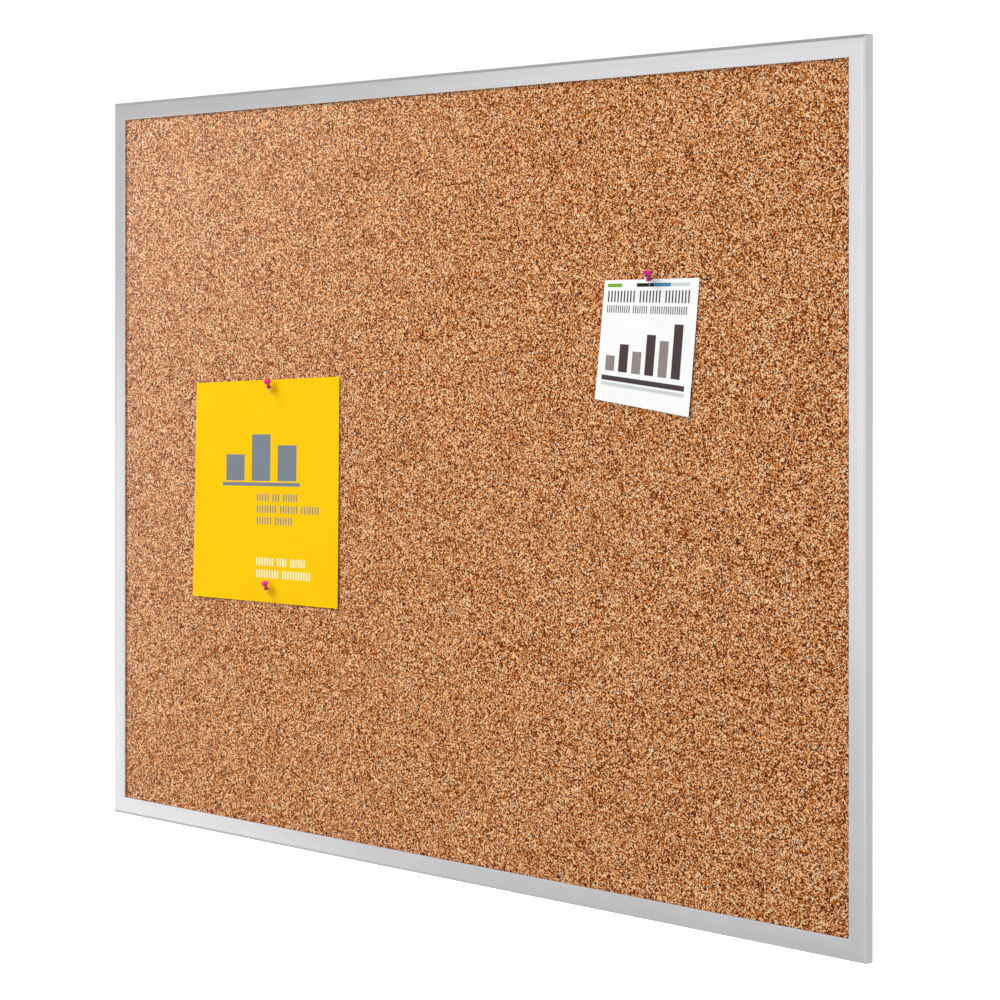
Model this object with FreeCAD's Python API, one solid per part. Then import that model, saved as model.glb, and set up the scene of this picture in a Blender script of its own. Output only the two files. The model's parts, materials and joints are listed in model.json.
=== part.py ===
"""Framed cork notice board, 48 x 36 in, with its two pinned notices.

Units are millimetres. Origin: the wall plane, at the middle of the board.
+X runs along the width, +Z is up, and the cork faces -Y, away from the wall.
"""
import FreeCAD, Part
import math
import os

from FreeCAD import Rotation, Vector

# Overall size
BOARD_WIDTH = 1219.2
BOARD_HEIGHT = 914.4
BOARD_DEPTH = 12.0              # wall to the crown of the frame's face
HANGER_THICKNESS = 1.0          # the frame stands off the wall by this much

# Frame extrusion: u runs inwards from the board's outer edge
FACE_WIDTH = 22.0
WALL_THICKNESS = 1.2
CROWN_HEIGHT = 0.45             # how far the face bows out between its edges
OUTER_BEVEL_WIDTH = 3.4
OUTER_BEVEL_DROP = 1.0          # how far the bevel falls over its width
OUTER_EDGE_RADIUS = 0.7
INNER_EDGE_RADIUS = 0.8
CHAMBER_WIDTH = 8.6             # hollow that takes the corner keys
RAIL_FLANGE_WIDTH = 4.0         # ledge behind the panel

# Panel: layers from the cork back towards the wall
CORK_RECESS = 2.6               # cork face behind the frame's crown
CORK_THICKNESS = 3.0
CORE_THICKNESS = 2.6
BACKING_THICKNESS = 0.2
PANEL_EDGE_GAP = 0.5            # between the panel's edge and the chamber wall

# Corner keys, hanger plates and their screws
KEY_ARM = 70.0
KEY_WIDTH = 8.2
KEY_THICKNESS = 6.0
HANGER_LEG = 90.0
HANGER_EDGE = 2.0               # plate's outer edge in from the board's outer edge
HANGER_TIP = 10.0               # blunt end of each leg
KEYHOLE_INSET = 34.0            # keyhole's round end from both outer edges
KEYHOLE_RADIUS = 4.5
KEYHOLE_SLOT_RADIUS = 2.3
KEYHOLE_SLOT_RISE = 9.0
SCREW_DISTANCE = 58.0           # from the corner, along each leg
SCREW_RADIUS = 1.5
SCREW_HEAD_RADIUS = 2.9
SCREW_HEAD_HEIGHT = 1.6
SCREW_LENGTH = 6.5
SCREW_CLEARANCE = 0.15
DRIVE_WIDTH = 0.7               # cross recess in each screw head
DRIVE_LENGTH = 3.0
DRIVE_DEPTH = 0.9

# Notices: outline corners (x, z), clockwise from the top left
NOTICE_THICKNESS = 0.3
NOTICE_GAP = 0.3                # between a notice and the cork
LARGE_NOTICE = [(-441.5, 99.0), (-172.5, 110.5), (-175.0, -164.0), (-448.0, -167.0)]
SMALL_NOTICE = [(256.5, 219.0), (391.0, 220.0), (377.0, 75.0), (243.0, 91.5)]

# Push pins: where each needle passes through the face of its notice (x, z)
UPPER_PIN = (-300.0, 89.7)
LOWER_PIN = (-305.0, -154.7)
SMALL_PIN = (321.3, 212.6)
PIN_RISE = 58.0                 # degrees above the horizontal
PIN_SWING = 28.0                # degrees round from straight out, towards +X
NEEDLE_RADIUS = 0.5
NEEDLE_FREE = 6.9               # bare length between the notice and the grip
NEEDLE_BURIED = 6.4             # bare length behind the notice's face
NEEDLE_IN_GRIP = 5.0
NEEDLE_POINT = 1.8
RUNNING_CLEARANCE = 0.05        # between a needle and the hole that it made
SWING_HOLE_RADIUS = 1.5         # hole in the small notice, which turns on its needle
GRIP_LENGTH = 9.4
GRIP_COLLAR_RADIUS = 3.2
GRIP_COLLAR_HEIGHT = 1.5
GRIP_WAIST_RADIUS = 1.7
GRIP_SHOULDER_RADIUS = 2.5
GRIP_HEAD_RADIUS = 4.3
GRIP_HEAD_HEIGHT = 2.2
GRIP_ROUNDING = 0.5

# Planes that follow from the sizes above
FRAME_FRONT = -BOARD_DEPTH
FRAME_REAR = -HANGER_THICKNESS
CORK_FRONT = FRAME_FRONT + CORK_RECESS
CORK_REAR = CORK_FRONT + CORK_THICKNESS
CORE_REAR = CORK_REAR + CORE_THICKNESS
PANEL_REAR = CORE_REAR + BACKING_THICKNESS
PANEL_INSET = 2 * WALL_THICKNESS + CHAMBER_WIDTH + PANEL_EDGE_GAP
NOTICE_REAR = CORK_FRONT - NOTICE_GAP
NOTICE_FRONT = NOTICE_REAR - NOTICE_THICKNESS
PIN_AXIS = Vector(
    math.cos(math.radians(PIN_RISE)) * math.sin(math.radians(PIN_SWING)),
    -math.cos(math.radians(PIN_RISE)) * math.cos(math.radians(PIN_SWING)),
    math.sin(math.radians(PIN_RISE)),
)
OUT = Vector(0, -1, 0)
TO_WALL = Vector(0, 1, 0)


def save(shape, node):
    """Writes one node, after a test that every solid in it is sound."""
    if not shape.isValid() or not shape.Solids:
        raise ValueError(node + " is not a sound solid")
    shape.exportStep("parts/" + node + ".step")
    print(node, len(shape.Solids), "solid(s)", round(shape.Volume, 1), "mm3")


def box(x_range, y_range, z_range):
    """A block between two values on each axis."""
    corner = Vector(x_range[0], y_range[0], z_range[0])
    size = [high - low for low, high in (x_range, y_range, z_range)]
    return Part.makeBox(size[0], size[1], size[2], corner)


def plate(points, front, rear):
    """A flat plate with an outline of (x, z) points, between two depths."""
    corners = [Vector(x, front, z) for x, z in points]
    face = Part.Face(Part.makePolygon(corners + corners[:1]))
    return face.extrude(TO_WALL * (rear - front))


# Frame -------------------------------------------------------------------

def inner_crown_edge(crown_centre, crown_radius):
    """Centre of the inner edge's rounding and the point where it meets the crown."""
    centre_u = FACE_WIDTH - INNER_EDGE_RADIUS
    reach = crown_radius - INNER_EDGE_RADIUS
    drop = math.sqrt(reach ** 2 - (centre_u - crown_centre.x) ** 2)
    centre = Vector(centre_u, crown_centre.y - drop, 0)
    outwards = (centre - crown_centre).normalize()
    return centre, crown_centre + outwards * crown_radius


def outer_bevel(crown_centre, crown_radius):
    """Where the bevel leaves the crown, where its rounding starts and ends, and its centre."""
    rise = math.sqrt(crown_radius ** 2 - (crown_centre.x - OUTER_BEVEL_WIDTH) ** 2)
    start = Vector(OUTER_BEVEL_WIDTH, crown_centre.y - rise, 0)
    corner = start + Vector(-OUTER_BEVEL_WIDTH, OUTER_BEVEL_DROP, 0)
    along_bevel = (start - corner).normalize()
    half_angle = along_bevel.getAngle(TO_WALL) / 2
    reach = OUTER_EDGE_RADIUS / math.tan(half_angle)
    bisector = (along_bevel + TO_WALL).normalize()
    centre = corner + bisector * (OUTER_EDGE_RADIUS / math.sin(half_angle))
    return start, corner + along_bevel * reach, corner + TO_WALL * reach, centre


def rounding(centre, start, end, radius):
    """The arc from start to end round a centre, the short way."""
    halfway = (start - centre).normalize() + (end - centre).normalize()
    return Part.Arc(start, centre + halfway.normalize() * radius, end).toShape()


def rail_section():
    """The extrusion's outline with its hollow, in (u, y), as one face."""
    half = FACE_WIDTH / 2
    crown_radius = (half ** 2 + CROWN_HEIGHT ** 2) / (2 * CROWN_HEIGHT)
    crown_centre = Vector(half, FRAME_FRONT + crown_radius, 0)
    crown_start, bevel_end, outer_top, outer_centre = outer_bevel(crown_centre, crown_radius)
    inner_centre, crown_end = inner_crown_edge(crown_centre, crown_radius)
    inner_top = Vector(FACE_WIDTH, inner_centre.y, 0)
    crown = Part.Arc(crown_start, Vector(half, FRAME_FRONT, 0), crown_end).toShape()

    underside = FRAME_FRONT + CROWN_HEIGHT + WALL_THICKNESS
    lip_inside = FACE_WIDTH - WALL_THICKNESS
    chamber_end = WALL_THICKNESS + CHAMBER_WIDTH
    chamber_outside = chamber_end + WALL_THICKNESS
    ledge_end = chamber_outside + RAIL_FLANGE_WIDTH
    ledge_rear = PANEL_REAR + WALL_THICKNESS
    corners = [
        inner_top,
        Vector(FACE_WIDTH, CORK_FRONT, 0),
        Vector(lip_inside, CORK_FRONT, 0),
        Vector(lip_inside, underside, 0),
        Vector(chamber_outside, underside, 0),
        Vector(chamber_outside, PANEL_REAR, 0),
        Vector(ledge_end, PANEL_REAR, 0),
        Vector(ledge_end, ledge_rear, 0),
        Vector(chamber_outside, ledge_rear, 0),
        Vector(chamber_outside, FRAME_REAR, 0),
        Vector(0, FRAME_REAR, 0),
        outer_top,
    ]
    edges = [Part.makeLine(a, b) for a, b in zip(corners, corners[1:])]
    edges.append(rounding(outer_centre, outer_top, bevel_end, OUTER_EDGE_RADIUS))
    edges.append(Part.makeLine(bevel_end, crown_start))
    edges.append(crown)
    edges.append(rounding(inner_centre, crown_end, inner_top, INNER_EDGE_RADIUS))
    outline = Part.Face(Part.Wire(Part.__sortEdges__(edges)))

    hollow = Part.makePlane(
        CHAMBER_WIDTH,
        FRAME_REAR - WALL_THICKNESS - underside,
        Vector(WALL_THICKNESS, underside, 0),
    )
    return outline.cut(hollow).Faces[0]


def rail(length):
    """A mitred rail along X whose outer edge is at z = 0 and whose face runs down."""
    face = rail_section()
    # (u, y) becomes (-z, y), and the rail runs along X
    face.rotate(Vector(0, 0, 0), Vector(0, 1, 0), 90)
    face.translate(Vector(-length / 2, 0, 0))
    bar = face.extrude(Vector(length, 0, 0))
    reach = FACE_WIDTH + 1
    for side in (-1, 1):
        end = side * length / 2
        waste = plate(
            [(end, 0), (end - side * reach, -reach), (end, -reach)],
            FRAME_FRONT - 1,
            0,
        )
        bar = bar.cut(waste)
    return bar


def placed_rail(length, quarter_turns, distance):
    """A rail turned round the board's middle by quarter turns, clockwise seen from the front."""
    bar = rail(length)
    bar.translate(Vector(0, 0, distance))
    bar.rotate(Vector(0, 0, 0), TO_WALL, 90 * quarter_turns)
    return bar


# Corners: each is drawn for the top right and mirrored ----------------------

CORNERS = {
    "top_right": (1, 1),
    "top_left": (-1, 1),
    "bottom_right": (1, -1),
    "bottom_left": (-1, -1),
}


def corner_point(signs, along_x, along_z):
    """Point (x, z) at two distances in from a corner's outer edges."""
    return signs[0] * (BOARD_WIDTH / 2 - along_x), signs[1] * (BOARD_HEIGHT / 2 - along_z)


def corner_outline(signs, insets):
    """Corner points (x, z) for a list of distances in from both outer edges."""
    return [corner_point(signs, along_x, along_z) for along_x, along_z in insets]


def screw_places(signs):
    """The two screw axes (x, z) of a corner, over the middle of the chamber."""
    middle = WALL_THICKNESS + CHAMBER_WIDTH / 2
    return corner_outline(signs, [(SCREW_DISTANCE, middle), (middle, SCREW_DISTANCE)])


def screw(place, clearance=0.0):
    """A countersunk screw whose head is flush with the wall plane; with a clearance, its hole."""
    top = Vector(place[0], 0, place[1])
    head = Part.makeCone(
        SCREW_HEAD_RADIUS + clearance, SCREW_RADIUS + clearance, SCREW_HEAD_HEIGHT, top, OUT
    )
    shank = Part.makeCylinder(
        SCREW_RADIUS + clearance, SCREW_LENGTH + clearance, top, OUT
    )
    return head.fuse(shank)


def finished_screw(place):
    """A screw with its cross recess."""
    body = screw(place)
    for width, height in ((DRIVE_LENGTH, DRIVE_WIDTH), (DRIVE_WIDTH, DRIVE_LENGTH)):
        slot = box(
            (place[0] - width / 2, place[0] + width / 2),
            (-DRIVE_DEPTH, DRIVE_DEPTH),
            (place[1] - height / 2, place[1] + height / 2),
        )
        body = body.cut(slot)
    return body


def corner_key(signs):
    """The L-shaped key inside the two mitred chambers."""
    start = WALL_THICKNESS + (CHAMBER_WIDTH - KEY_WIDTH) / 2
    end = start + KEY_WIDTH
    insets = [
        (start, start), (KEY_ARM, start), (KEY_ARM, end),
        (end, end), (end, KEY_ARM), (start, KEY_ARM),
    ]
    rear = FRAME_REAR - WALL_THICKNESS
    key = plate(corner_outline(signs, insets), rear - KEY_THICKNESS, rear)
    for place in screw_places(signs):
        key = key.cut(screw(place))
    return key


def keyhole(signs):
    """The opening in a hanger plate: a round end and a slot that rises from it."""
    x, z = corner_point(signs, KEYHOLE_INSET, KEYHOLE_INSET)
    depth = 2 * HANGER_THICKNESS
    start = Vector(x, HANGER_THICKNESS / 2, z)
    slot_top = start + Vector(0, 0, KEYHOLE_SLOT_RISE)
    opening = Part.makeCylinder(KEYHOLE_RADIUS, depth, start, OUT)
    opening = opening.fuse(Part.makeCylinder(KEYHOLE_SLOT_RADIUS, depth, slot_top, OUT))
    neck = box(
        (x - KEYHOLE_SLOT_RADIUS, x + KEYHOLE_SLOT_RADIUS),
        (start.y - depth, start.y),
        (z, slot_top.z),
    )
    return opening.fuse(neck)


def hanger_plate(signs):
    """The gusset plate behind a corner, with its keyhole."""
    near = HANGER_EDGE
    far = HANGER_EDGE + HANGER_LEG
    tip = near + HANGER_TIP
    insets = [(near, near), (far, near), (far, tip), (tip, far), (near, far)]
    gusset = plate(corner_outline(signs, insets), FRAME_REAR, 0)
    gusset = gusset.cut(keyhole(signs))
    for place in screw_places(signs):
        gusset = gusset.cut(screw(place, SCREW_CLEARANCE))
    return gusset


def drilled(bar):
    """A rail with the holes of every corner screw that meets it."""
    for signs in CORNERS.values():
        for place in screw_places(signs):
            hole = screw(place, SCREW_CLEARANCE)
            if bar.distToShape(hole)[0] < SCREW_CLEARANCE:
                bar = bar.cut(hole)
    return bar


# Panel, notices and pins -----------------------------------------------------

def panel_layer(front, rear):
    """One full layer of the panel."""
    half_x = BOARD_WIDTH / 2 - PANEL_INSET
    half_z = BOARD_HEIGHT / 2 - PANEL_INSET
    return box((-half_x, half_x), (front, rear), (-half_z, half_z))


def entry(place):
    """Where a pin's axis meets the front of its notice."""
    return Vector(place[0], NOTICE_FRONT, place[1])


def needle_hole(place):
    """The hole that a needle makes, from in front of the notice to past its point."""
    buried = NEEDLE_BURIED + RUNNING_CLEARANCE
    start = entry(place) - PIN_AXIS * buried
    return Part.makeCylinder(
        NEEDLE_RADIUS + RUNNING_CLEARANCE, buried + NEEDLE_FREE, start, PIN_AXIS
    )


def pin_placed(shape, place):
    """Carries a shape drawn along +Z, with z = 0 at the notice's face, to a pin's place."""
    shape.Placement = FreeCAD.Placement(entry(place), Rotation(Vector(0, 0, 1), PIN_AXIS))
    return shape


def needle(place):
    """A needle with a conical point, up to its end inside the grip."""
    point = Part.makeCone(0, NEEDLE_RADIUS, NEEDLE_POINT, Vector(0, 0, -NEEDLE_BURIED))
    shaft_start = NEEDLE_POINT - NEEDLE_BURIED
    shaft_length = NEEDLE_FREE + NEEDLE_IN_GRIP - shaft_start
    shaft = Part.makeCylinder(NEEDLE_RADIUS, shaft_length, Vector(0, 0, shaft_start))
    return pin_placed(point.fuse(shaft).removeSplitter(), place)


def grip(place):
    """A waisted grip, turned about its axis, with the blind bore for the needle."""
    foot = NEEDLE_FREE
    top = foot + GRIP_LENGTH
    soft = GRIP_ROUNDING
    head_under = top - GRIP_HEAD_HEIGHT
    collar_top = foot + GRIP_COLLAR_HEIGHT
    corner = soft * (1 - math.sqrt(0.5))

    def at(radius, height):
        return Vector(radius, 0, height)

    waist = at(GRIP_WAIST_RADIUS, (collar_top + head_under) / 2)
    edges = [
        Part.makeLine(at(0, foot), at(GRIP_COLLAR_RADIUS - soft, foot)),
        Part.Arc(
            at(GRIP_COLLAR_RADIUS - soft, foot),
            at(GRIP_COLLAR_RADIUS - corner, foot + corner),
            at(GRIP_COLLAR_RADIUS, foot + soft),
        ).toShape(),
        Part.makeLine(at(GRIP_COLLAR_RADIUS, foot + soft), at(GRIP_SHOULDER_RADIUS, collar_top)),
        Part.Arc(
            at(GRIP_SHOULDER_RADIUS, collar_top), waist, at(GRIP_SHOULDER_RADIUS, head_under)
        ).toShape(),
        Part.makeLine(at(GRIP_SHOULDER_RADIUS, head_under), at(GRIP_HEAD_RADIUS, head_under + soft)),
        Part.makeLine(at(GRIP_HEAD_RADIUS, head_under + soft), at(GRIP_HEAD_RADIUS, top - soft)),
        Part.Arc(
            at(GRIP_HEAD_RADIUS, top - soft),
            at(GRIP_HEAD_RADIUS - corner, top - corner),
            at(GRIP_HEAD_RADIUS - soft, top),
        ).toShape(),
        Part.makeLine(at(GRIP_HEAD_RADIUS - soft, top), at(0, top)),
        Part.makeLine(at(0, top), at(0, foot)),
    ]
    section = Part.Face(Part.Wire(edges))
    turned = section.revolve(Vector(0, 0, 0), Vector(0, 0, 1), 360)
    bore = Part.makeCylinder(NEEDLE_RADIUS, NEEDLE_IN_GRIP, Vector(0, 0, foot))
    return pin_placed(turned.cut(bore), place)


def main():
    os.makedirs("parts", exist_ok=True)

    save(drilled(placed_rail(BOARD_WIDTH, 0, BOARD_HEIGHT / 2)), "top_rail")
    save(drilled(placed_rail(BOARD_HEIGHT, 1, BOARD_WIDTH / 2)), "right_stile")
    save(drilled(placed_rail(BOARD_WIDTH, 2, BOARD_HEIGHT / 2)), "bottom_rail")
    save(drilled(placed_rail(BOARD_HEIGHT, 3, BOARD_WIDTH / 2)), "left_stile")

    screws = []
    for name, signs in CORNERS.items():
        save(corner_key(signs), "corner_key_" + name)
        save(hanger_plate(signs), "hanger_plate_" + name)
        screws += [finished_screw(place) for place in screw_places(signs)]
    save(Part.makeCompound(screws), "corner_screws")

    cork = panel_layer(CORK_FRONT, CORK_REAR)
    for place in (UPPER_PIN, LOWER_PIN, SMALL_PIN):
        cork = cork.cut(needle_hole(place))
    save(cork, "cork_sheet")
    save(panel_layer(CORK_REAR, CORE_REAR), "fibreboard_core")
    save(panel_layer(CORE_REAR, PANEL_REAR), "backing_sheet")

    large = plate(LARGE_NOTICE, NOTICE_FRONT, NOTICE_REAR)
    for place in (UPPER_PIN, LOWER_PIN):
        large = large.cut(needle_hole(place))
    save(large, "large_notice")

    small = plate(SMALL_NOTICE, NOTICE_FRONT, NOTICE_REAR)
    swing_centre = entry(SMALL_PIN) - PIN_AXIS * (NOTICE_THICKNESS / 2 / abs(PIN_AXIS.y))
    swing_hole = Part.makeCylinder(
        SWING_HOLE_RADIUS, 2, Vector(swing_centre.x, NOTICE_FRONT - 1, swing_centre.z), TO_WALL
    )
    save(small.cut(swing_hole), "small_notice")

    for name, place in (("upper", UPPER_PIN), ("lower", LOWER_PIN), ("small", SMALL_PIN)):
        save(grip(place), name + "_pin_grip")
        save(needle(place), name + "_pin_needle")


main()
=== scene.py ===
"""Cork notice board with two pinned notices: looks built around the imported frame.

Everything is in metres in the row frame: X along the width, Z up, the cork faces -Y.
"""
import json
import math

import bpy
import numpy as np
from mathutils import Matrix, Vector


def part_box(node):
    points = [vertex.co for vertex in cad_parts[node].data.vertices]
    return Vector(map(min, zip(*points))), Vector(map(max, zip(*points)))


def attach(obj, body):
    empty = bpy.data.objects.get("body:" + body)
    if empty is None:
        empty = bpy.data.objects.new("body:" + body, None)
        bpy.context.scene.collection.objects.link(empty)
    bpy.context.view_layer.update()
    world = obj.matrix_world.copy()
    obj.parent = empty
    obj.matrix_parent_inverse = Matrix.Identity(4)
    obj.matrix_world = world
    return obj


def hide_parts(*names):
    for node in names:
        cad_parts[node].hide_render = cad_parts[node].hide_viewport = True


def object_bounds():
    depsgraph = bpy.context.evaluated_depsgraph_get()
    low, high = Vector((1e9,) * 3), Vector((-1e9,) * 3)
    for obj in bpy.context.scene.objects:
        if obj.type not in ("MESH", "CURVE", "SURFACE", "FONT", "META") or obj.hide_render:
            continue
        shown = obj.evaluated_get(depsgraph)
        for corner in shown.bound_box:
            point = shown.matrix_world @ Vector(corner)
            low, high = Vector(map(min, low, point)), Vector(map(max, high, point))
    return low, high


MM = 0.001

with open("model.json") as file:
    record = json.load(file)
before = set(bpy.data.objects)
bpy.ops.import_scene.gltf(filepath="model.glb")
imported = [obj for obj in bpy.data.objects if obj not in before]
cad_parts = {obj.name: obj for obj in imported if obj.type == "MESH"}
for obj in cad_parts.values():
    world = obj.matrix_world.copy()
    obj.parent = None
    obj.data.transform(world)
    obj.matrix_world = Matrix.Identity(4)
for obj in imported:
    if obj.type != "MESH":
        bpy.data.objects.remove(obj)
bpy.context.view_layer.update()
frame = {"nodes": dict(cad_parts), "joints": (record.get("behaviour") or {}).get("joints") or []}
nodes = frame["nodes"]
joints = {joint["name"]: joint for joint in frame["joints"]}


# Materials ------------------------------------------------------------------

def srgb(red, green, blue):
    """A display colour, 0 to 255 a channel, as the linear colour that a socket takes."""
    shares = [value / 255 for value in (red, green, blue)]
    linear = [s / 12.92 if s <= 0.04045 else ((s + 0.055) / 1.055) ** 2.4 for s in shares]
    return (*linear, 1.0)


STUDIO_LIGHT = 1.22              # how much brighter than its albedo a matt front face shows
NOISE_REACH = (0.3, 0.7)         # where most of a noise's values lie


def seen(red, green, blue, sheen=0.0):
    """The albedo that shows as a display colour on the board's face in the studio's light.

    sheen is the white light that the surface's gloss adds to it.
    """
    shown = srgb(red, green, blue)[:3]
    return (*(max(value - sheen, 0.002) / STUDIO_LIGHT for value in shown), 1.0)


class Surface:
    """A material made node by node. Pattern sizes are in millimetres on the object."""

    def __init__(self, name, **settings):
        self.material = bpy.data.materials.new(name)
        self.material.use_nodes = True
        self.tree = self.material.node_tree
        self.shader = self.tree.nodes["Principled BSDF"]
        self.place = self.add("ShaderNodeTexCoord").outputs["Object"]
        for socket, value in settings.items():
            self.shader.inputs[socket.replace("_", " ")].default_value = value

    def add(self, kind, values=None, **properties):
        """A node with its properties and its sockets' values or links."""
        node = self.tree.nodes.new(kind)
        for name, value in properties.items():
            setattr(node, name, value)
        for socket, value in (values or {}).items():
            if isinstance(value, bpy.types.NodeSocket):
                self.tree.links.new(value, node.inputs[socket])
            else:
                node.inputs[socket].default_value = value
        return node

    def grid(self, size, shift=(0, 0, 0), turn=(0, 0, 0)):
        """Object coordinates counted in cells of a size, which may differ along each axis."""
        sizes = size if hasattr(size, "__len__") else (size,) * 3
        scale = [1 / (s * MM) for s in sizes]
        node = self.add(
            "ShaderNodeMapping",
            {"Vector": self.place, "Location": shift, "Rotation": turn, "Scale": scale},
        )
        return node.outputs["Vector"]

    def noise(self, size, detail=2.0, roughness=0.5, shift=(0, 0, 0), distortion=0.0):
        """Soft noise from 0 to 1 whose features have a size."""
        node = self.add("ShaderNodeTexNoise", {
            "Vector": self.grid(size, shift), "Scale": 1.0, "Detail": detail,
            "Roughness": roughness, "Distortion": distortion,
        })
        return node.outputs["Fac"]

    def cells(self, vector, dimensions="3D"):
        """Voronoi cells over cell coordinates: their random colours and their distance field."""
        node = self.add(
            "ShaderNodeTexVoronoi", {"Vector": vector, "Scale": 1.0}, voronoi_dimensions=dimensions
        )
        tones = self.add("ShaderNodeSeparateColor", {"Color": node.outputs["Color"]})
        return tones.outputs, node.outputs["Distance"]

    def ramp(self, value, *stops):
        """A value turned into a colour; each stop is (position, colour)."""
        node = self.add("ShaderNodeValToRGB", {"Fac": value})
        elements = node.color_ramp.elements
        while len(elements) < len(stops):
            elements.new(0.5)
        for element, (position, colour) in zip(elements, stops):
            element.position = position
            element.color = colour
        return node.outputs["Color"]

    def spread(self, value, low, high, to_low=0.0, to_high=1.0):
        """A value carried from one range to another, and held at its ends."""
        node = self.add("ShaderNodeMapRange", {
            "Value": value, "From Min": low, "From Max": high,
            "To Min": to_low, "To Max": to_high,
        })
        return node.outputs["Result"]

    def vary(self, noise, to_low, to_high):
        """A noise carried from the range that most of it lies in to another."""
        return self.spread(noise, *NOISE_REACH, to_low, to_high)

    def sum(self, first, second, operation="ADD"):
        """Two values put together."""
        return self.add("ShaderNodeMath", {0: first, 1: second}, operation=operation).outputs[0]

    def mix(self, share, first, second, blend="MIX"):
        """Two colours mixed."""
        node = self.add(
            "ShaderNodeMix", {0: share, 6: first, 7: second}, data_type="RGBA", blend_type=blend
        )
        return node.outputs[2]

    def bump(self, height, distance, strength=1.0, normal=None):
        """Relief with a depth in millimetres."""
        values = {"Height": height, "Distance": distance * MM, "Strength": strength}
        if normal is not None:
            values["Normal"] = normal
        return self.add("ShaderNodeBump", values).outputs["Normal"]

    def finish(self, **links):
        """Links outputs to the shader's sockets and returns the material."""
        for socket, output in links.items():
            self.tree.links.new(output, self.shader.inputs[socket.replace("_", " ")])
        return self.material


def aluminium(name, along):
    """Satin anodised extrusion, brushed along one axis."""
    surface = Surface(name, Metallic=1.0)
    fine = [0.22, 0.22, 0.22]
    fine[along] = 90.0
    coarse = [1.6, 1.6, 1.6]
    coarse[along] = 420.0
    lines = surface.noise(fine, detail=3.0, roughness=0.65)
    bands = surface.noise(coarse, detail=2.0, shift=(3.1, 1.7, 5.3))
    haze = surface.noise(75.0, detail=3.0, shift=(9.0, 2.0, 4.0))
    tone = surface.sum(surface.sum(lines, bands), haze)
    colour = surface.ramp(
        surface.spread(tone, 1.1, 1.9),
        (0.0, srgb(226, 226, 228)), (0.5, srgb(231, 230, 232)), (1.0, srgb(236, 235, 236)),
    )
    roughness = surface.spread(surface.sum(lines, haze), 0.7, 1.3, 0.22, 0.28)
    relief = surface.bump(lines, 0.004, 0.4)
    return surface.finish(Base_Color=colour, Roughness=roughness, Normal=relief)


CORK_SHEEN = 0.009               # white light that the cork's gloss adds
FACE_AXES = (math.pi / 2, 0, 0)  # the sheet's X and Z become the texture's X and Y
BARK_FLECK = 2.7                 # sizes in millimetres
LARGE_CRUMB = 1.35
SMALL_CRUMB = 0.8
LARGE_SHARE = 0.72               # how much each size of crumb says in a granule's tone
SMALL_SHARE = 0.28
CORK_TONES = (                   # from the darkest granules to the palest
    (0.00, (38, 0, 0)), (0.18, (100, 28, 0)), (0.35, (170, 85, 22)), (0.50, (216, 127, 58)),
    (0.66, (253, 171, 102)), (0.84, (255, 210, 154)), (1.00, (255, 242, 208)),
)
# Painted sheen on the cork: its colour grows paler towards the top left corner, as a light's gloss
# would make it
PAINTED_SHEEN_BEGINS, PAINTED_SHEEN_ENDS = 0.12, 0.8  # metres along the slope to the top left corner
MOST_PAINTED_SHEEN = 0.22


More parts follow.
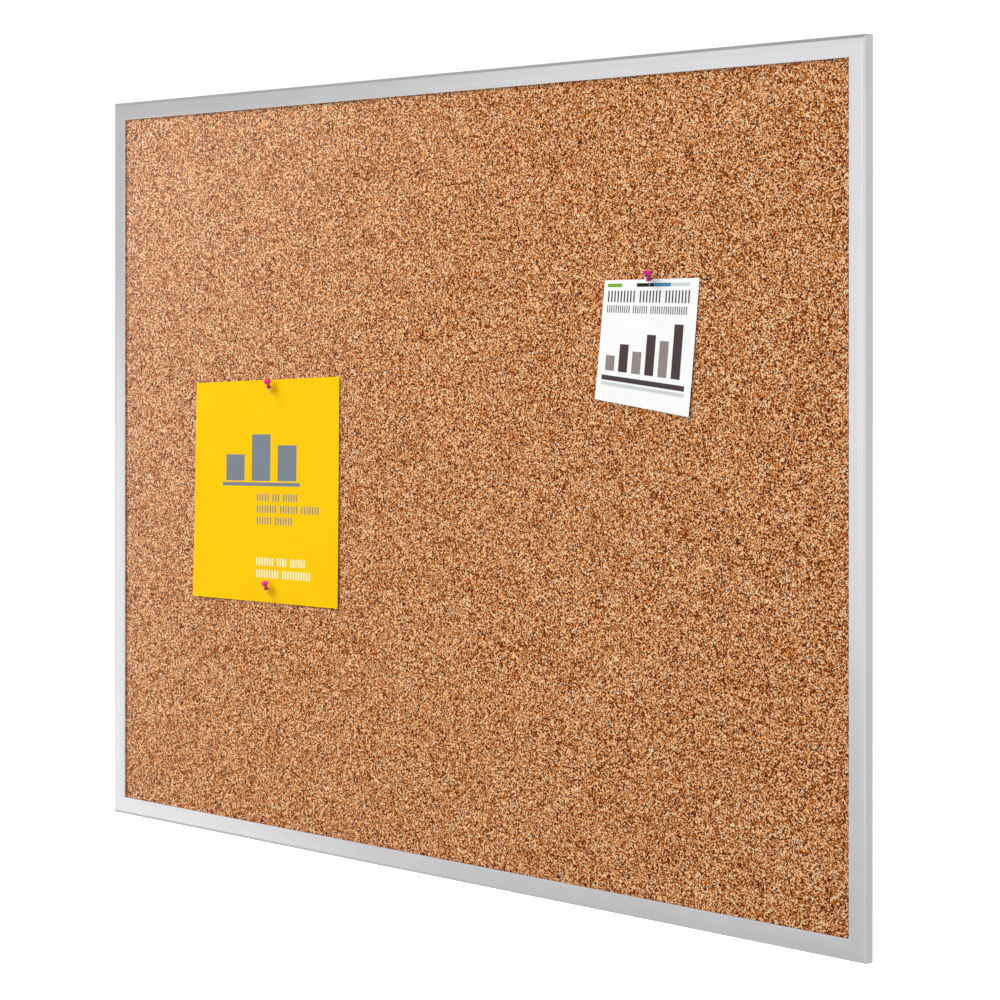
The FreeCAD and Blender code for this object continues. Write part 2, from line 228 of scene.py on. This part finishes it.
def cork():
    """Pressed cork granules: tan and orange crumbs, dark gaps and flecks of bark."""
    surface = Surface("cork_granules", Roughness=0.7, Specular_IOR_Level=0.06)

    def crumbs(size, shift, stray, stray_size):
        """One size of crumb with a ragged outline: its random colours and its distance field.

        The outline strays by up to about half of stray, in crumbs, in waves of stray_size.
        """
        wobble = surface.add("ShaderNodeTexNoise", {
            "Vector": surface.grid(stray_size, turn=FACE_AXES), "Scale": 1.0, "Detail": 1.0,
        }, noise_dimensions="2D").outputs["Color"]
        moved = surface.add(
            "ShaderNodeVectorMath",
            {0: wobble, 1: (stray, stray, stray), 2: surface.grid(size, shift, FACE_AXES)},
            operation="MULTIPLY_ADD",
        ).outputs[0]
        return surface.cells(moved, "2D")

    bark_tones, bark_reach = crumbs(BARK_FLECK, (3.1, 5.2, 1.7), 0.8, 1.6)
    large_tones, large_reach = crumbs(LARGE_CRUMB, (0, 0, 0), 0.8, 1.0)
    small_tones, small_reach = crumbs(SMALL_CRUMB, (7.3, 2.1, 4.4), 0.7, 0.6)
    clusters = surface.noise(7.5, detail=3.0, roughness=0.6, shift=(2.0, 8.0, 1.0))
    patches = surface.noise(55.0, detail=2.0, shift=(5.0, 3.0, 6.0))
    tone = surface.sum(
        surface.spread(large_tones["Red"], 0, 1, 0, LARGE_SHARE),
        surface.spread(small_tones["Red"], 0, 1, 0, SMALL_SHARE),
    )
    tone = surface.sum(tone, surface.vary(clusters, -0.03, 0.03))
    tone = surface.sum(tone, surface.vary(patches, -0.02, 0.02))
    colour = surface.ramp(
        surface.spread(tone, 0.15, 0.85),
        *((position, seen(*shown, CORK_SHEEN)) for position, shown in CORK_TONES),
    )

    # Some granules are ruddier and some yellower than the rest
    ruddy = surface.spread(large_tones["Green"], 0.6, 0.9, 0, 0.14)
    colour = surface.mix(ruddy, colour, seen(206, 100, 40))
    yellow = surface.spread(small_tones["Green"], 0.7, 0.95, 0, 0.1)
    colour = surface.mix(yellow, colour, seen(216, 174, 88))

    # Dark gaps between the granules, and flecks of bark
    gap = surface.spread(large_reach, 0.5, 0.74, 0.0, 0.6)
    colour = surface.mix(gap, colour, seen(98, 26, 0, CORK_SHEEN))
    bark = surface.sum(
        surface.spread(bark_tones["Blue"], 0.86, 0.9, 0.0, 0.8),
        surface.spread(bark_reach, 0.3, 0.6, 1.0, 0.0), "MULTIPLY",
    )
    colour = surface.mix(bark, colour, seen(84, 34, 8, CORK_SHEEN))

    # Painted sheen: a pale haze added to the colour towards the top left corner, standing in for
    # the gloss of a light at the left
    place = surface.add("ShaderNodeSeparateXYZ", {"Vector": surface.place}).outputs
    leftwards = surface.spread(place["X"], -1, 1, 1, -1)
    slope = surface.sum(leftwards, surface.spread(place["Z"], -1, 1, -0.6, 0.6))
    painted_sheen = surface.spread(slope, PAINTED_SHEEN_BEGINS, PAINTED_SHEEN_ENDS, 0, MOST_PAINTED_SHEEN)
    colour = surface.mix(painted_sheen, colour, seen(118, 134, 136), blend="ADD")

    domes = surface.spread(surface.sum(large_reach, small_reach), 0.1, 1.2, 1.0, 0.0)
    relief = surface.bump(domes, 0.4, 0.6)
    return surface.finish(Base_Color=colour, Normal=relief)


def fibreboard():
    """Soft brown fibreboard core."""
    surface = Surface("fibreboard_core", Roughness=0.9)
    fibres = surface.noise((2.8, 0.4, 0.7), detail=4.0, roughness=0.7)
    mottle = surface.noise(14.0, detail=2.0, shift=(4.0, 1.0, 2.0))
    colour = surface.ramp(
        surface.sum(surface.spread(fibres, 0.2, 0.8, 0, 0.7), surface.spread(mottle, 0, 1, 0, 0.3)),
        (0.1, srgb(112, 80, 50)), (0.5, srgb(148, 112, 74)), (0.9, srgb(178, 144, 102)),
    )
    return surface.finish(Base_Color=colour, Normal=surface.bump(fibres, 0.15, 0.7))


def kraft():
    """Brown backing paper with flecks, light fibres, clouds of tone and a slight ripple."""
    surface = Surface("kraft_backing", Roughness=0.82)
    fibres = surface.noise((5.0, 1.0, 0.5), detail=5.0, roughness=0.7)
    specks = surface.noise(1.1, detail=2.0, shift=(3.0, 6.0, 9.0))
    clouds = surface.noise(90.0, detail=4.0, roughness=0.55, shift=(6.0, 2.0, 7.0))
    tone = surface.sum(
        surface.spread(fibres, 0.25, 0.75, 0, 0.55), surface.vary(clouds, 0, 0.45)
    )
    colour = surface.ramp(
        tone, (0.05, srgb(158, 122, 84)), (0.5, srgb(180, 144, 102)), (0.95, srgb(198, 164, 122)),
    )
    colour = surface.mix(surface.spread(specks, 0.68, 0.76, 0, 0.6), colour, srgb(112, 78, 50))
    ripple = surface.noise(160.0, detail=1.0, shift=(1.0, 5.0, 2.0))
    relief = surface.bump(ripple, 1.2, 0.5)
    relief = surface.bump(fibres, 0.06, 0.6, relief)
    return surface.finish(Base_Color=colour, Normal=relief)


def zinc(name, spangle, dark, light):
    """Zinc-plated steel with a soft spangle and light handling marks."""
    surface = Surface(name, Metallic=1.0)
    flakes, _ = surface.cells(surface.grid(spangle))
    grain = surface.noise((0.5, 0.5, 3.0), detail=3.0, roughness=0.6)
    tone = surface.sum(
        surface.spread(flakes["Red"], 0, 1, 0, 0.55), surface.spread(grain, 0.25, 0.75, 0, 0.45)
    )
    colour = surface.ramp(tone, (0.05, dark), (0.95, light))
    roughness = surface.spread(tone, 0, 1, 0.46, 0.28)
    return surface.finish(
        Base_Color=colour, Roughness=roughness, Normal=surface.bump(grain, 0.02, 0.5)
    )


def paper(name, colour, shade):
    """Printed paper: a tooth, a faint mottle and a very slight unevenness of tone."""
    surface = Surface(name, Specular_IOR_Level=0.06)
    tooth = surface.noise(0.45, detail=3.0, roughness=0.6)
    mottle = surface.noise(26.0, detail=3.0, shift=(2.0, 9.0, 5.0))
    tone = surface.sum(surface.vary(tooth, 0, 0.5), surface.vary(mottle, 0, 0.5))
    mixed = surface.ramp(tone, (0.0, shade), (0.7, colour))
    rough = surface.vary(tooth, 0.64, 0.76)
    return surface.finish(
        Base_Color=mixed, Roughness=rough, Normal=surface.bump(tooth, 0.03, 0.5)
    )


def gloss_plastic(name, colour, deep):
    """Moulded translucent plastic with faint flow marks."""
    surface = Surface(
        name, Specular_IOR_Level=0.5, Coat_Weight=0.3, Coat_Roughness=0.08,
        Subsurface_Weight=0.25, Subsurface_Scale=0.0012,
    )
    flow = surface.noise((1.6, 1.6, 4.5), detail=2.0, distortion=0.6)
    scuffs = surface.noise(0.5, detail=3.0, shift=(1.0, 4.0, 8.0))
    tinted = surface.ramp(flow, (0.3, deep), (0.62, colour))
    roughness = surface.spread(scuffs, 0.35, 0.7, 0.2, 0.34)
    return surface.finish(
        Base_Color=tinted, Roughness=roughness, Normal=surface.bump(scuffs, 0.01, 0.4)
    )


def needle_steel():
    """Polished nickel-plated wire."""
    surface = Surface("needle_steel_wire", Metallic=1.0)
    drawn = surface.noise(0.3, detail=2.0)
    colour = surface.ramp(drawn, (0.3, srgb(205, 204, 200)), (0.7, srgb(232, 231, 227)))
    return surface.finish(Base_Color=colour, Roughness=surface.vary(drawn, 0.14, 0.26))


def dress(material, *names):
    """Gives CAD nodes a material."""
    for name in names:
        for slot in nodes[name].material_slots:
            slot.material = material


X_AXIS, Z_AXIS = 0, 2
CORNERS = ("top_right", "top_left", "bottom_right", "bottom_left")
dress(aluminium("satin_aluminium_rails", X_AXIS), "top_rail", "bottom_rail")
dress(aluminium("satin_aluminium_stiles", Z_AXIS), "left_stile", "right_stile")
dress(fibreboard(), "fibreboard_core")
dress(kraft(), "backing_sheet")
dress(
    zinc("zinc_hanger_plate", 7.0, srgb(168, 172, 176), srgb(214, 217, 219)),
    *("hanger_plate_" + corner for corner in CORNERS),
)
dress(
    zinc("cast_corner_key", 3.0, srgb(150, 150, 150), srgb(192, 192, 190)),
    *("corner_key_" + corner for corner in CORNERS),
)
dress(zinc("bright_screw", 1.2, srgb(186, 190, 188), srgb(228, 230, 226)), "corner_screws")
dress(
    gloss_plastic("magenta_grip", srgb(204, 0, 136), srgb(168, 0, 122)),
    "upper_pin_grip", "lower_pin_grip", "small_pin_grip",
)
dress(needle_steel(), "upper_pin_needle", "lower_pin_needle", "small_pin_needle")


# Meshes ---------------------------------------------------------------------

SHARP_ANGLE = 60                 # degrees; faces that meet at more have a sharp edge


def shell(name, front, back, materials, slots=None, flat_back=False):
    """A closed body between two grids of points with the same rows and columns.

    slots holds the material number of each front face; the rest takes the first.
    A flat back is one face.
    """
    rows, columns = front.shape[:2]
    count = rows * columns
    index = np.arange(count).reshape(rows, columns)
    low = index[:-1, :-1].ravel()
    right = index[:-1, 1:].ravel()
    across = index[1:, 1:].ravel()
    up = index[1:, :-1].ravel()
    ring = np.concatenate([
        index[0, :-1], index[:-1, -1], index[-1, :0:-1], index[:0:-1, 0],
    ])
    front_faces = np.stack([low, right, across, up], 1)
    back_points = back.reshape(-1, 3)
    if flat_back:
        back_points = back_points[ring]
        back_ring = count + np.arange(len(ring))
        back_faces = [back_ring[::-1].tolist()]
    else:
        back_ring = ring + count
        back_faces = (np.stack([up, across, right, low], 1) + count).tolist()
    side_faces = np.stack([np.roll(ring, -1), ring, back_ring, np.roll(back_ring, -1)], 1)
    points = np.concatenate([front.reshape(-1, 3), back_points])
    faces = front_faces.tolist() + back_faces + side_faces.tolist()

    mesh = bpy.data.meshes.new(name)
    mesh.from_pydata(points.tolist(), [], faces)
    for material in materials:
        mesh.materials.append(material)
    smooth = np.zeros(len(faces), bool)
    smooth[: len(front_faces) + len(back_faces)] = True
    mesh.polygons.foreach_set("use_smooth", smooth)
    if slots is not None:
        numbers = np.zeros(len(faces), np.int32)
        numbers[: len(front_faces)] = slots.ravel()
        mesh.polygons.foreach_set("material_index", numbers)
    mesh.update()
    mesh.validate()
    mesh.set_sharp_from_angle(angle=math.radians(SHARP_ANGLE))
    piece = bpy.data.objects.new(name, mesh)
    bpy.context.scene.collection.objects.link(piece)
    return piece


# Cork sheet -----------------------------------------------------------------

CORK_COLUMNS = 340
CORK_ROWS = 254
CORK_RELIEF = 0.11 * MM          # spread of the surface about its plane
CORK_HIGHEST = 0.16 * MM         # granules stay this close to the plane, clear of the notices
CORK_DEEPEST = 0.45 * MM
EDGE_CELLS = 3                   # flat cells under the frame's lip
CORK_SEED = 4
GRAIN_PASSES = 1                 # how often the fine relief is softened
SWELL_PASSES = 14                # and the broad one
SWELL_SHARE = 0.6                # the broad relief over the fine one


def soften(field, times):
    """A field averaged with its neighbours a number of times."""
    for _ in range(times):
        padded = np.pad(field, 1, mode="edge")
        field = (
            4 * padded[1:-1, 1:-1]
            + padded[:-2, 1:-1] + padded[2:, 1:-1]
            + padded[1:-1, :-2] + padded[1:-1, 2:]
        ) / 8
    return field


def cork_piece():
    """The cork sheet with its uneven pressed face."""
    low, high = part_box("cork_sheet")
    rng = np.random.RandomState(CORK_SEED)
    grain = soften(rng.normal(size=(CORK_ROWS, CORK_COLUMNS)), GRAIN_PASSES)
    swell = soften(rng.normal(size=(CORK_ROWS, CORK_COLUMNS)), SWELL_PASSES)
    relief = grain / grain.std() + SWELL_SHARE * swell / swell.std()
    relief = np.clip(relief * CORK_RELIEF, -CORK_HIGHEST, CORK_DEEPEST)
    for edge in range(EDGE_CELLS):
        for rim in (relief[edge], relief[-1 - edge], relief[:, edge], relief[:, -1 - edge]):
            rim[:] = 0.0
    xs = np.linspace(low.x, high.x, CORK_COLUMNS)
    zs = np.linspace(low.z, high.z, CORK_ROWS)
    grid_x, grid_z = np.meshgrid(xs, zs)
    front = np.stack([grid_x, low.y + relief, grid_z], 2)
    back = np.stack([grid_x, np.full_like(grid_x, high.y), grid_z], 2)
    piece = shell("cork_face", front, back, [cork()], flat_back=True)
    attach(piece, "board")
    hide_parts("cork_sheet")


# Notices --------------------------------------------------------------------

PAPER_THICKNESS = 0.22 * MM
MESH_STEP = 0.025                # widest grid cell on a notice, as a share of its side
FLAT_ROUND_PIN = 11 * MM         # a notice stays flat this close to a pin
CURL_BEGINS = 45 * MM            # and curls freely from here on
STROKE_SHARE = 0.44              # width of a printed stroke over its pitch
PINS_AT = 0.52                   # share of the large notice's width near its pins


def outline(node):
    """The four corners (x, z) of a flat notice, clockwise from the top left."""
    points = np.array([(v.co.x, v.co.z) for v in nodes[node].data.vertices])
    signs = [(-1, 1), (1, 1), (1, -1), (-1, -1)]
    return [points[np.argmax(points @ np.array(sign))] for sign in signs]


def pin_point(needle, plane):
    """Where a pin's axis meets a plane of constant y."""
    axis = np.array(joints["upper_pin_pull"]["axis"], float)
    low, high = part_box(needle)
    middle = np.array((low + high) / 2)
    return middle + axis * (plane - middle[1]) / axis[1]


def cuts(edges):
    """Grid lines from 0 to 1 through all edges, with no wide cell between them."""
    lines = sorted({0.0, 1.0, *(round(edge, 5) for edge in edges)})
    full = []
    for low, high in zip(lines, lines[1:]):
        steps = max(1, math.ceil((high - low) / MESH_STEP))
        full += [low + (high - low) * step / steps for step in range(steps)]
    return np.array(full + [1.0])


def notice_piece(name, node, body, pins, curl, materials, marks):
    """A curled sheet in place of a flat CAD notice.

    marks are (left, top, right, bottom, material number) in shares of the sheet's sides.
    curl gives how far the sheet lifts, in metres, at shares (u, v) of its sides.
    """
    top_left, top_right, bottom_right, bottom_left = outline(node)
    us = cuts([edge for mark in marks for edge in (mark[0], mark[2])])
    vs = cuts([edge for mark in marks for edge in (mark[1], mark[3])])
    u, v = np.meshgrid(us, vs)
    weights = [(1 - u) * (1 - v), u * (1 - v), u * v, (1 - u) * v]
    corners = [top_left, top_right, bottom_right, bottom_left]
    x = sum(weight * corner[0] for weight, corner in zip(weights, corners))
    z = sum(weight * corner[1] for weight, corner in zip(weights, corners))

    low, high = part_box(node)
    free = np.ones_like(x)
    for needle in pins:
        place = pin_point(needle, low.y)
        away = np.hypot(x - place[0], z - place[2])
        share = np.clip((away - FLAT_ROUND_PIN) / (CURL_BEGINS - FLAT_ROUND_PIN), 0, 1)
        free *= share * share * (3 - 2 * share)
    lift = curl(u, v) * free
    rear = high.y - lift
    front = np.stack([x, rear - PAPER_THICKNESS, z], 2)[::-1]
    back = np.stack([x, rear, z], 2)[::-1]

    middle_u = (u[:-1, :-1] + u[1:, 1:]) / 2
    middle_v = (v[:-1, :-1] + v[1:, 1:]) / 2
    slots = np.zeros(middle_u.shape, np.int32)
    for left, top, right, bottom, number in marks:
        inside = (middle_u > left) & (middle_u < right) & (middle_v > top) & (middle_v < bottom)
        slots[inside] = number
    piece = shell(name, front, back, materials, slots[::-1])
    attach(piece, body)
    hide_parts(node)


def strokes(left, top, bottom, words, pitch, number):
    """A row of plain upright strokes in groups, which stands where a printed line would be."""
    row = []
    for count in words:
        for step in range(count):
            start = left + pitch * step
            row.append((start, top, start + STROKE_SHARE * pitch, bottom, number))
        left += pitch * (count + 1)
    return row


def large_curl(u, v):
    """The large notice is held down its middle, so its sides and lower edge lift a little."""
    from_middle = np.abs(u - PINS_AT) / 0.5
    right = np.where(u > PINS_AT, 0.8, 0.4)
    side = 0.7 * from_middle ** 2 * right
    lower = 0.4 * v ** 2 + 0.4 * v ** 6 * from_middle ** 1.5
    ripple = 0.1 * np.sin(7.0 * v + 2.5 * u) * from_middle
    return (0.15 + side + lower + ripple) * MM


def small_curl(u, v):
    """The small notice hangs from its top edge, so its lower edge and corners lift."""
    lower = 0.7 * v ** 2
    corner = 0.6 * (v ** 3) * (2 * np.abs(u - 0.5)) ** 2
    ripple = 0.1 * np.sin(6.0 * u + 1.0) * v
    return (0.1 + lower + corner + ripple) * MM


LINES_LEFT = 0.445               # where the large notice's lines begin
LINE_PITCH = 0.018               # and the pitch of their strokes, in shares of its width
INK_GREY, INK_PALE = 1, 2
large_marks = [
    (left, top, right, 0.455, INK_GREY)
    for left, top, right in ((0.225, 0.335, 0.355), (0.405, 0.245, 0.535), (0.585, 0.295, 0.715))
]
large_marks.append((0.2, 0.462, 0.74, 0.478, INK_GREY))
for top, bottom, words, number in (
    (0.513, 0.547, (5, 3, 6), INK_GREY), (0.565, 0.599, (8, 7, 7), INK_GREY),
    (0.617, 0.651, (6, 7), INK_GREY), (0.8, 0.836, (7, 4, 6), INK_PALE),
    (0.855, 0.891, (9, 11), INK_PALE),
):
    large_marks += strokes(LINES_LEFT, top, bottom, words, LINE_PITCH, number)
notice_piece(
    "yellow_notice", "large_notice", "large_notice",
    ["upper_pin_needle", "lower_pin_needle"], large_curl,
    [
        paper("yellow_paper_sheet", seen(255, 202, 0), seen(251, 197, 0)),
        paper("grey_ink", seen(126, 136, 146), seen(120, 130, 140)),
        paper("pale_ink", seen(255, 250, 226), seen(252, 246, 220)),
    ],
    large_marks,
)

GREEN, BLACK, BLUE, SILVER, BROWN, TAUPE = range(1, 7)
small_marks = [
    (0.04, 0.03, 0.19, 0.058, GREEN), (0.35, 0.03, 0.53, 0.058, BLACK),
    (0.53, 0.03, 0.71, 0.058, BLUE), (0.71, 0.03, 0.91, 0.058, SILVER),
]
small_marks += strokes(0.05, 0.088, 0.182, (9, 7, 8), 0.034, BROWN)
small_marks += strokes(0.05, 0.208, 0.268, (11, 7, 17), 0.0232, BROWN)
BARS_LEFT, BARS_FOOT = 0.08, 0.745  # the bar chart, in shares of the small notice's sides
BAR_PITCH, BAR_WIDTH = 0.14, 0.095
for step, (top, number) in enumerate((
    (0.62, TAUPE), (0.52, BROWN), (0.57, TAUPE), (0.43, BROWN), (0.47, TAUPE), (0.34, BROWN),
)):
    left = BARS_LEFT + BAR_PITCH * step
    small_marks.append((left, top, left + BAR_WIDTH, BARS_FOOT, number))
small_marks.append((0.05, 0.785, 0.93, 0.825, BROWN))
small_marks.append((0.05, 0.84, 0.93, 0.868, SILVER))
notice_piece(
    "white_notice", "small_notice", "small_notice",
    ["small_pin_needle"], small_curl,
    [
        paper("white_paper_sheet", seen(255, 255, 254), seen(251, 251, 250)),
        paper("green_ink", seen(122, 182, 48), seen(116, 176, 44)),
        paper("black_ink", seen(44, 42, 40), seen(38, 36, 34)),
        paper("blue_ink", seen(72, 144, 188), seen(66, 138, 182)),
        paper("silver_ink", seen(212, 218, 220), seen(206, 212, 214)),
        paper("brown_ink", seen(84, 68, 70), seen(78, 62, 64)),
        paper("taupe_ink", seen(152, 140, 138), seen(146, 134, 132)),
    ],
    small_marks,
)
cork_piece()


# Stage, lights and camera -----------------------------------------------------

FLOOR_DROP = 0.75                # floor below the board's lower edge
FLOOR_SIZE = 60.0
FLOOR_GLOW = 1.0                 # as pale as the backdrop


def stage_floor():
    """A plain pale floor."""
    low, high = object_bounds()
    height = low.z - FLOOR_DROP
    half = FLOOR_SIZE / 2
    mesh = bpy.data.meshes.new("floor")
    corners = [
        (-half, -half, height), (half, -half, height), (half, half, height), (-half, half, height),
    ]
    mesh.from_pydata(corners, [], [(0, 1, 2, 3)])
    surface = Surface("pale_floor", Roughness=0.9)
    tone = surface.noise(900.0, detail=2.0)
    colour = surface.ramp(tone, (0.3, srgb(248, 248, 248)), (0.7, srgb(252, 252, 252)))
    surface.shader.inputs["Emission Color"].default_value = (1.0, 1.0, 1.0, 1.0)
    surface.shader.inputs["Emission Strength"].default_value = FLOOR_GLOW
    mesh.materials.append(surface.finish(Base_Color=colour))
    floor = bpy.data.objects.new("floor", mesh)
    bpy.context.scene.collection.objects.link(floor)
    floor.visible_diffuse = False
    floor.visible_glossy = False


def softbox(name, azimuth, elevation, distance, size, power, mirrored):
    """A square area light aimed at the origin; azimuth runs from -Y towards +X.

    One that isn't mirrored leaves no glint on the metal.
    """
    turn, rise = math.radians(azimuth), math.radians(elevation)
    place = (
        distance * math.sin(turn) * math.cos(rise),
        -distance * math.cos(turn) * math.cos(rise),
        distance * math.sin(rise),
    )
    light = bpy.data.lights.new(name, "AREA")
    light.shape = "SQUARE"
    light.size = size
    light.energy = power
    lamp = bpy.data.objects.new(name, light)
    lamp.location = place
    lamp.rotation_euler = (math.pi / 2 - rise, 0, turn)
    lamp.visible_glossy = mirrored
    bpy.context.scene.collection.objects.link(lamp)


CAMERA_PLACE = (2.308, -2.199, 0.169)
CAMERA_TURN = 45.29              # degrees round from square on
CAMERA_LENS = 100.66
HORIZON_SHIFT = -0.173           # the picture's horizon lies above its middle

camera_data = bpy.data.cameras.new("camera")
camera_data.lens = CAMERA_LENS
camera_data.sensor_width = 36.0
camera_data.shift_y = HORIZON_SHIFT
camera = bpy.data.objects.new("camera", camera_data)
camera.location = CAMERA_PLACE
camera.rotation_euler = (math.pi / 2, 0, math.radians(CAMERA_TURN))
bpy.context.scene.collection.objects.link(camera)
bpy.context.scene.camera = camera

stage_floor()
for lamp_settings in (           # name, azimuth, elevation, distance, size, power, mirrored
    ("key", -58, 42, 6.0, 4.0, 620.0, False),
    ("right_panel", -28, 7, 3.2, 2.0, 4.0, True),
    ("front_panel", -4, 0, 3.2, 1.9, 3.4, True),
    ("low_panel", -66, -12, 3.4, 1.7, 4.2, True),
    ("side_panel", 135, 6, 3.2, 2.4, 1.1, True),
):
    softbox(*lamp_settings)

BACKDROP = 1.04                  # strengths of the world's light
ROOM_LIGHT = 0.625
CEILING_LIGHT = 0.375
DIM_FROM, DIM_TO = 0.15, 0.7     # heights on a unit sphere where the room grows dimmer


def studio():
    """A white backdrop for the camera, and a soft pale room, dimmer overhead, for the object."""
    world = bpy.data.worlds.new("studio")
    world.use_nodes = True
    tree = world.node_tree
    direction = tree.nodes.new("ShaderNodeTexCoord").outputs["Generated"]
    split = tree.nodes.new("ShaderNodeSeparateXYZ")
    tree.links.new(direction, split.inputs["Vector"])
    room = tree.nodes.new("ShaderNodeMapRange")
    room.interpolation_type = "SMOOTHSTEP"
    for socket, value in (
        ("From Min", DIM_FROM), ("From Max", DIM_TO),
        ("To Min", ROOM_LIGHT), ("To Max", CEILING_LIGHT),
    ):
        room.inputs[socket].default_value = value
    tree.links.new(split.outputs["Z"], room.inputs["Value"])
    choice = tree.nodes.new("ShaderNodeMix")
    tree.links.new(tree.nodes.new("ShaderNodeLightPath").outputs["Is Camera Ray"], choice.inputs[0])
    tree.links.new(room.outputs["Result"], choice.inputs[2])
    choice.inputs[3].default_value = BACKDROP
    tree.links.new(choice.outputs[0], tree.nodes["Background"].inputs["Strength"])
    tree.nodes["Background"].inputs["Color"].default_value = (1.0, 1.0, 1.0, 1.0)
    bpy.context.scene.world = world


studio()
bpy.context.scene.view_settings.view_transform = "Standard"
